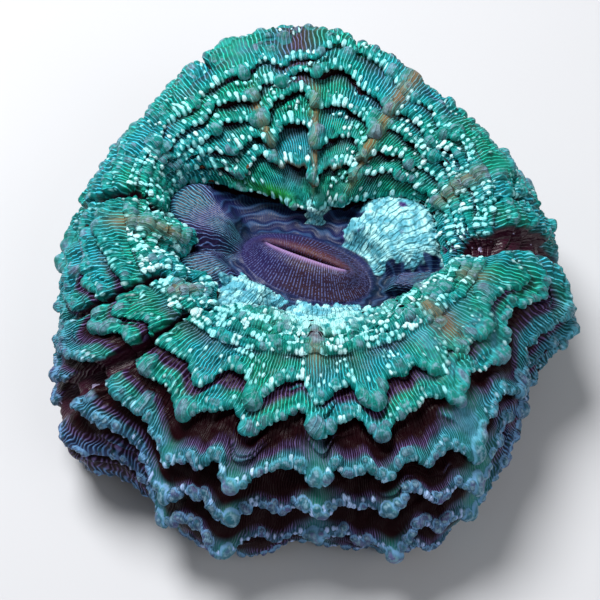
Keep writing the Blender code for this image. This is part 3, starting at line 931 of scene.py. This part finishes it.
class Nodes:
    """Short calls that add and join the nodes of one material."""

    def __init__(self, name):
        self.material = bpy.data.materials.new(name)
        self.material.use_nodes = True
        self.tree = self.material.node_tree
        self.shader = self.tree.nodes["Principled BSDF"]

    def feed(self, value, socket):
        """Joins a socket to another, or gives it a number or a colour."""
        if isinstance(value, bpy.types.NodeSocket):
            self.tree.links.new(value, socket)
        else:
            socket.default_value = (*value, 1) if isinstance(value, tuple) else value

    def add(self, kind, feeds, output=0, **settings):
        """A new node with its settings and its inputs fed, given as one of its outputs."""
        node = self.tree.nodes.new(kind)
        for key, value in settings.items():
            setattr(node, key, value)
        for key, value in feeds.items():
            self.feed(value, node.inputs[key])
        return node.outputs[output]

    def mask(self, name):
        return self.add("ShaderNodeAttribute", {}, "Fac", attribute_name=name)

    def maths(self, operation, a, b=0.5, c=0.5):
        return self.add("ShaderNodeMath", {0: a, 1: b, 2: c}, operation=operation)

    def times(self, a, b):
        return self.maths("MULTIPLY", a, b)

    def scaled(self, value, by, plus):
        return self.maths("MULTIPLY_ADD", value, by, plus)

    def span(self, value, low, high, to_low=0.0, to_high=1.0):
        """A smooth step of value from low to high."""
        feeds = {0: value, 1: low, 2: high, 3: to_low, 4: to_high}
        return self.add("ShaderNodeMapRange", feeds, interpolation_type="SMOOTHSTEP")

    def mix(self, factor, a, b):
        """Colour a, with colour b over it by factor."""
        return self.add("ShaderNodeMix", {0: factor, 6: a, 7: b}, 2, data_type="RGBA")

    def layers(self, colour, *steps):
        """A colour with each (factor, colour) laid over it in turn."""
        for factor, over in steps:
            colour = self.mix(factor, colour, over)
        return colour

    def noise(self, scale, detail=2.0):
        place = self.add("ShaderNodeTexCoord", {}, "Object")
        return self.add("ShaderNodeTexNoise", {"Vector": place, "Scale": scale, "Detail": detail}, "Fac")

    def line_wave(self, count, waver=1.0, shift=0.0):
        """A wave from 0 to 1 that peaks once for each of count radial lines."""
        lines = self.add("ShaderNodeUVMap", {}, uv_map="Lines")
        across = self.add("ShaderNodeSeparateXYZ", {0: lines})
        turns = self.scaled(across, float(count), shift)
        bent = self.scaled(self.noise(110.0, 1.0), 2.0 * waver, turns)
        bent = self.scaled(self.noise(420.0, 0.0), 0.6 * waver, bent)
        place = self.maths("FRACT", bent)
        aside = self.maths("ABSOLUTE", self.maths("SUBTRACT", place, 0.5))
        return self.scaled(aside, -2.0, 1.0)

    def bump(self, height, strength, distance):
        normal = self.add("ShaderNodeBump", {"Strength": strength, "Distance": distance, "Height": height})
        self.feed(normal, self.shader.inputs["Normal"])


def mantle_material():
    """Green flesh with bright radial lines, white beads and mauve bladders, with painted maroon-black shade
    in the recesses.
    """
    n = Nodes("mantle_flesh")
    broad = n.span(n.noise(55.0), 0.38, 0.62)
    patchy = n.span(n.noise(160.0), 0.42, 0.68)
    fine = n.noise(700.0, 3.0)
    # The lower front, painted darker as shade and bluer.
    low = n.mask("low")
    # Painted shade in the recesses, under the lips and on the foot.
    deep = n.mask("deep")
    brown = n.mask("brown")
    # Painted shade with the top lobe's own brown: a dusky violet that darkens the treads from the recesses
    # up, and the brown treads of the top lobe.
    shade_and_brown = n.span(deep, n.scaled(low, -0.12, 0.1), n.scaled(low, -0.22, 0.42))
    shade_and_brown = n.maths("MAXIMUM", shade_and_brown, brown)
    ground = n.layers(
        n.mix(broad, (0.001, 0.12, 0.07), (0.001, 0.115, 0.125)),
        (n.times(patchy, 0.4), (0.006, 0.05, 0.06)),
        (low, (0.006, 0.010, 0.032)),
        (shade_and_brown, n.mix(brown, (0.013, 0.003, 0.014), (0.05, 0.016, 0.018))),
    )
    bright = n.layers(
        n.mix(broad, (0.03, 0.74, 0.54), (0.06, 0.70, 0.92)),
        (n.span(n.noise(230.0), 0.45, 0.7, 0.0, 0.6), (0.30, 0.82, 1.0)),
        (n.times(low, 0.95), (0.13, 0.27, 0.58)),
        (shade_and_brown, (0.19, 0.13, 0.34)),
    )
    wide = n.span(n.line_wave(LINES), n.scaled(low, 0.14, 0.52), 0.96)
    between = n.times(n.span(n.line_wave(LINES, 1.0, 0.5), 0.7, 1.0), n.span(low, 0.1, 0.5))
    line = n.maths("MAXIMUM", wide, between)
    line = n.times(line, n.span(n.noise(420.0), 0.3, 0.6, 0.5, 1.0))
    smooth = n.mask("smooth")
    even = n.mix(patchy, (0.015, 0.22, 0.17), (0.06, 0.27, 0.36))
    bead = n.mask("bead")
    parted = n.times(n.span(bead, 0.0, 0.08), n.span(bead, 0.45, 0.2))
    white = n.mix(patchy, (0.34, 0.88, 0.92), (0.70, 0.96, 1.0))
    knob = n.mask("knob")
    rim = n.times(n.span(knob, 0.0, 0.1), n.span(knob, 0.6, 0.25))
    heart = n.span(knob, 0.3, 0.8)
    heart_colour = n.layers(
        n.mix(patchy, (0.01, 0.20, 0.16), (0.12, 0.13, 0.22)),
        (low, n.mix(patchy, (0.03, 0.13, 0.20), (0.12, 0.10, 0.26))),
        (n.span(fine, 0.42, 0.65), (0.22, 0.38, 0.50)),
    )
    crust = n.mix(n.span(n.noise(420.0), 0.40, 0.60), (0.04, 0.36, 0.40), (0.45, 0.90, 0.90))
    # Painted shade: the deepest parts of the recesses and the lips' undersides turn maroon-black, over more
    # of them on the lower front.
    shade_black = n.span(deep, n.scaled(low, -0.24, 0.38), n.scaled(low, -0.3, 0.75))
    cleft = n.span(n.mask("cleft"), 0.3, 0.8)
    # The clefts are painted dark maroon as shade, with a few pale specks of their own.
    cleft_shade = n.mix(n.span(n.noise(380.0, 1.0), 0.70, 0.74), (0.032, 0.003, 0.014), (0.45, 0.40, 0.62))
    colour = n.layers(
        n.mix(line, ground, bright),
        (n.times(n.mask("lip"), 0.4), n.mix(low, (0.01, 0.42, 0.38), (0.07, 0.12, 0.30))),
        (n.times(smooth, 0.7), even),
        (n.times(n.mask("ochre"), 0.7), (0.26, 0.13, 0.045)),
        (n.mask("lime"), (0.02, 0.33, 0.02)),
        (n.times(parted, 0.45), (0.003, 0.07, 0.07)),
        (n.span(bead, 0.2, 0.65), n.mix(low, white, (0.40, 0.55, 0.90))),
        (n.times(heart, n.scaled(low, 0.2, 0.65)), heart_colour),
        (n.times(rim, n.scaled(low, 0.45, 0.3)), n.mix(low, (0.05, 0.50, 0.52), (0.18, 0.38, 0.66))),
        (n.times(n.mask("pale"), 0.85), crust),
        (n.times(n.span(n.mask("crumb"), 0.25, 0.9), 0.75), (0.50, 0.94, 0.94)),
        (shade_black, (0.011, 0.0012, 0.0028)),
        (n.times(n.mask("rust"), 0.7), (0.15, 0.055, 0.012)),
        (cleft, cleft_shade),
    )
    n.feed(colour, n.shader.inputs["Base Color"])
    n.feed(n.span(fine, 0.3, 0.7, 0.3, 0.5), n.shader.inputs["Roughness"])
    n.feed(n.span(cleft, 0.5, 1.0, 0.09, 0.45), n.shader.inputs["Specular IOR Level"])
    grooves = n.scaled(line, n.maths("SUBTRACT", 1.0, smooth), fine)
    n.bump(grooves, 0.7, 0.0004)
    return n.material


def disc_material():
    """Violet oral disc with pale lines and mint patches, and the mauve mouth with its pink lip."""
    n = Nodes("disc_flesh")
    fine = n.noise(800.0, 3.0)
    broad = n.span(n.noise(90.0), 0.35, 0.65)
    lobe = n.mask("lobe")
    ground = n.layers(
        n.mix(broad, (0.001, 0.009, 0.034), (0.007, 0.009, 0.06)),
        (n.span(n.mask("wave"), 0.6, 1.0, 0.0, 0.5), (0.03, 0.09, 0.22)),
        (lobe, n.mix(broad, (0.008, 0.03, 0.055), (0.028, 0.018, 0.07))),
    )
    line = n.span(n.line_wave(LINES * 0.75, 1.6), 0.68, 1.0)
    seen = n.times(line, n.span(lobe, 0.0, 1.0, 0.12, 0.9))
    mint = n.mix(n.span(n.noise(300.0), 0.4, 0.65), (0.11, 0.44, 0.56), (0.48, 0.92, 0.95))
    creased = n.span(n.line_wave(LINES / 3, 1.4), 0.0, 0.4)
    crust = n.layers(
        n.mix(creased, (0.02, 0.15, 0.18), mint),
        (n.times(n.mask("cross"), 0.7), (0.03, 0.18, 0.22)),
        (n.span(n.mask("crumb"), 0.1, 0.6), mint),
        (n.span(n.noise(180.0, 1.0), 0.66, 0.74), (0.05, 0.03, 0.16)),
    )
    mound = n.mask("mound")
    fine_lines = n.span(n.line_wave(LINES / 3, 0.15), 0.45, 0.9)
    dotted = n.times(fine_lines, n.span(n.noise(1900.0, 0.0), 0.38, 0.58))
    skin = n.layers(
        n.mix(broad, (0.018, 0.009, 0.038), (0.031, 0.009, 0.017)),
        (n.span(mound, 0.95, 0.4), (0.018, 0.014, 0.08)),
        (n.times(n.mask("cool"), 0.8), (0.02, 0.016, 0.10)),
        (n.times(dotted, 0.55), (0.16, 0.21, 0.52)),
    )
    colour = n.layers(
        n.mix(seen, ground, n.mix(broad, (0.13, 0.50, 0.72), (0.22, 0.36, 0.78))),
        (n.span(n.mask("pale"), 0.3, 0.8), crust),
        (mound, skin),
        (n.times(n.mask("slit"), 0.65), (0.50, 0.30, 0.62)),
        (n.times(n.mask("far"), 0.55), (0.12, 0.032, 0.022)),
        (n.mask("inside"), (0.05, 0.012, 0.008)),
    )
    n.feed(colour, n.shader.inputs["Base Color"])
    n.feed(n.span(fine, 0.3, 0.7, 0.36, 0.54), n.shader.inputs["Roughness"])
    n.shader.inputs["Specular IOR Level"].default_value = 0.25
    n.bump(n.maths("ADD", line, fine), 0.5, 0.0002)
    return n.material


def coral():
    """The whole polyp, cut into six pieces that share one skin."""
    angle = np.arange(COLUMNS) / COLUMNS * 2 * math.pi
    surface = whole_surface(angle)
    points, normals, masks = smooth_rows(surface, angle)
    flesh = mantle_material()
    start = surface["before"]
    folds = np.cumsum(FOLD_ROWS)
    ledges = folds[-1] + np.cumsum(LEDGE_ROWS)
    cuts = {
        "oral_disc": (0, start, "disc", disc_material()),
        "inner_folds": (start, start + folds[2], "band", flesh),
        "crest_folds": (start + folds[2], start + ledges[0], "band", flesh),
        "flank_ledges": (start + ledges[0], start + ledges[2], "band", flesh),
        "lower_ledges": (start + ledges[2], start + ledges[4], "band", flesh),
        "foot_ledges": (start + ledges[4], len(points) - 1, "foot", flesh),
    }
    for name, (first, last, closing, material) in cuts.items():
        piece = band(name, (int(first), int(last)), points, normals, masks, angle, closing, material)
        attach(piece, "root")
        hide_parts(NODE)


def floor():
    n = Nodes("pale_floor")
    n.feed(n.mix(n.noise(6.0), (0.55, 0.56, 0.58), (0.60, 0.60, 0.62)), n.shader.inputs["Base Color"])
    n.shader.inputs["Roughness"].default_value = 0.8
    half = 1.5
    mesh = bpy.data.meshes.new("floor")
    corners = [(-half, -half, 0), (half, -half, 0), (half, half, 0), (-half, half, 0)]
    mesh.from_pydata(corners, [], [(0, 1, 2, 3)])
    mesh.materials.append(n.material)
    made = new_object("floor", mesh)


def area_light(name, place, size, watts):
    """A round soft light that looks at the middle of the coral."""
    light = bpy.data.lights.new(name, "AREA")
    light.shape = "DISK"
    light.size = size
    light.energy = watts
    made = new_object(name, light)
    made.location = place
    made.rotation_euler = (Vector((0, 0, 0.03)) - Vector(place)).to_track_quat("-Z", "Y").to_euler()


def studio():
    world = bpy.data.worlds.new("studio")
    world.use_nodes = True
    background = world.node_tree.nodes["Background"]
    background.inputs["Color"].default_value = (0.85, 0.88, 0.92, 1.0)
    background.inputs["Strength"].default_value = 0.22
    bpy.context.scene.world = world
    area_light("key", (-0.25, 0.30, 0.75), 0.4, 10.0)
    area_light("fill", (0.45, -0.35, 0.55), 0.6, 1.5)


def camera():
    """The photograph's view: from the front, steeply down."""
    rise = math.radians(60)
    distance = 0.42
    aim = Vector((-0.0035, 0, 0.0165))
    way = Vector((0, -math.cos(rise), math.sin(rise)))
    made = new_object("camera", bpy.data.cameras.new("camera"))
    made.data.lens = 85
    made.data.sensor_width = 36
    made.location = aim + way * distance
    made.rotation_euler = (-way).to_track_quat("-Z", "Y").to_euler()
    bpy.context.scene.camera = made


coral()
floor()
studio()
camera()
bpy.context.scene.view_settings.view_transform = "Standard"
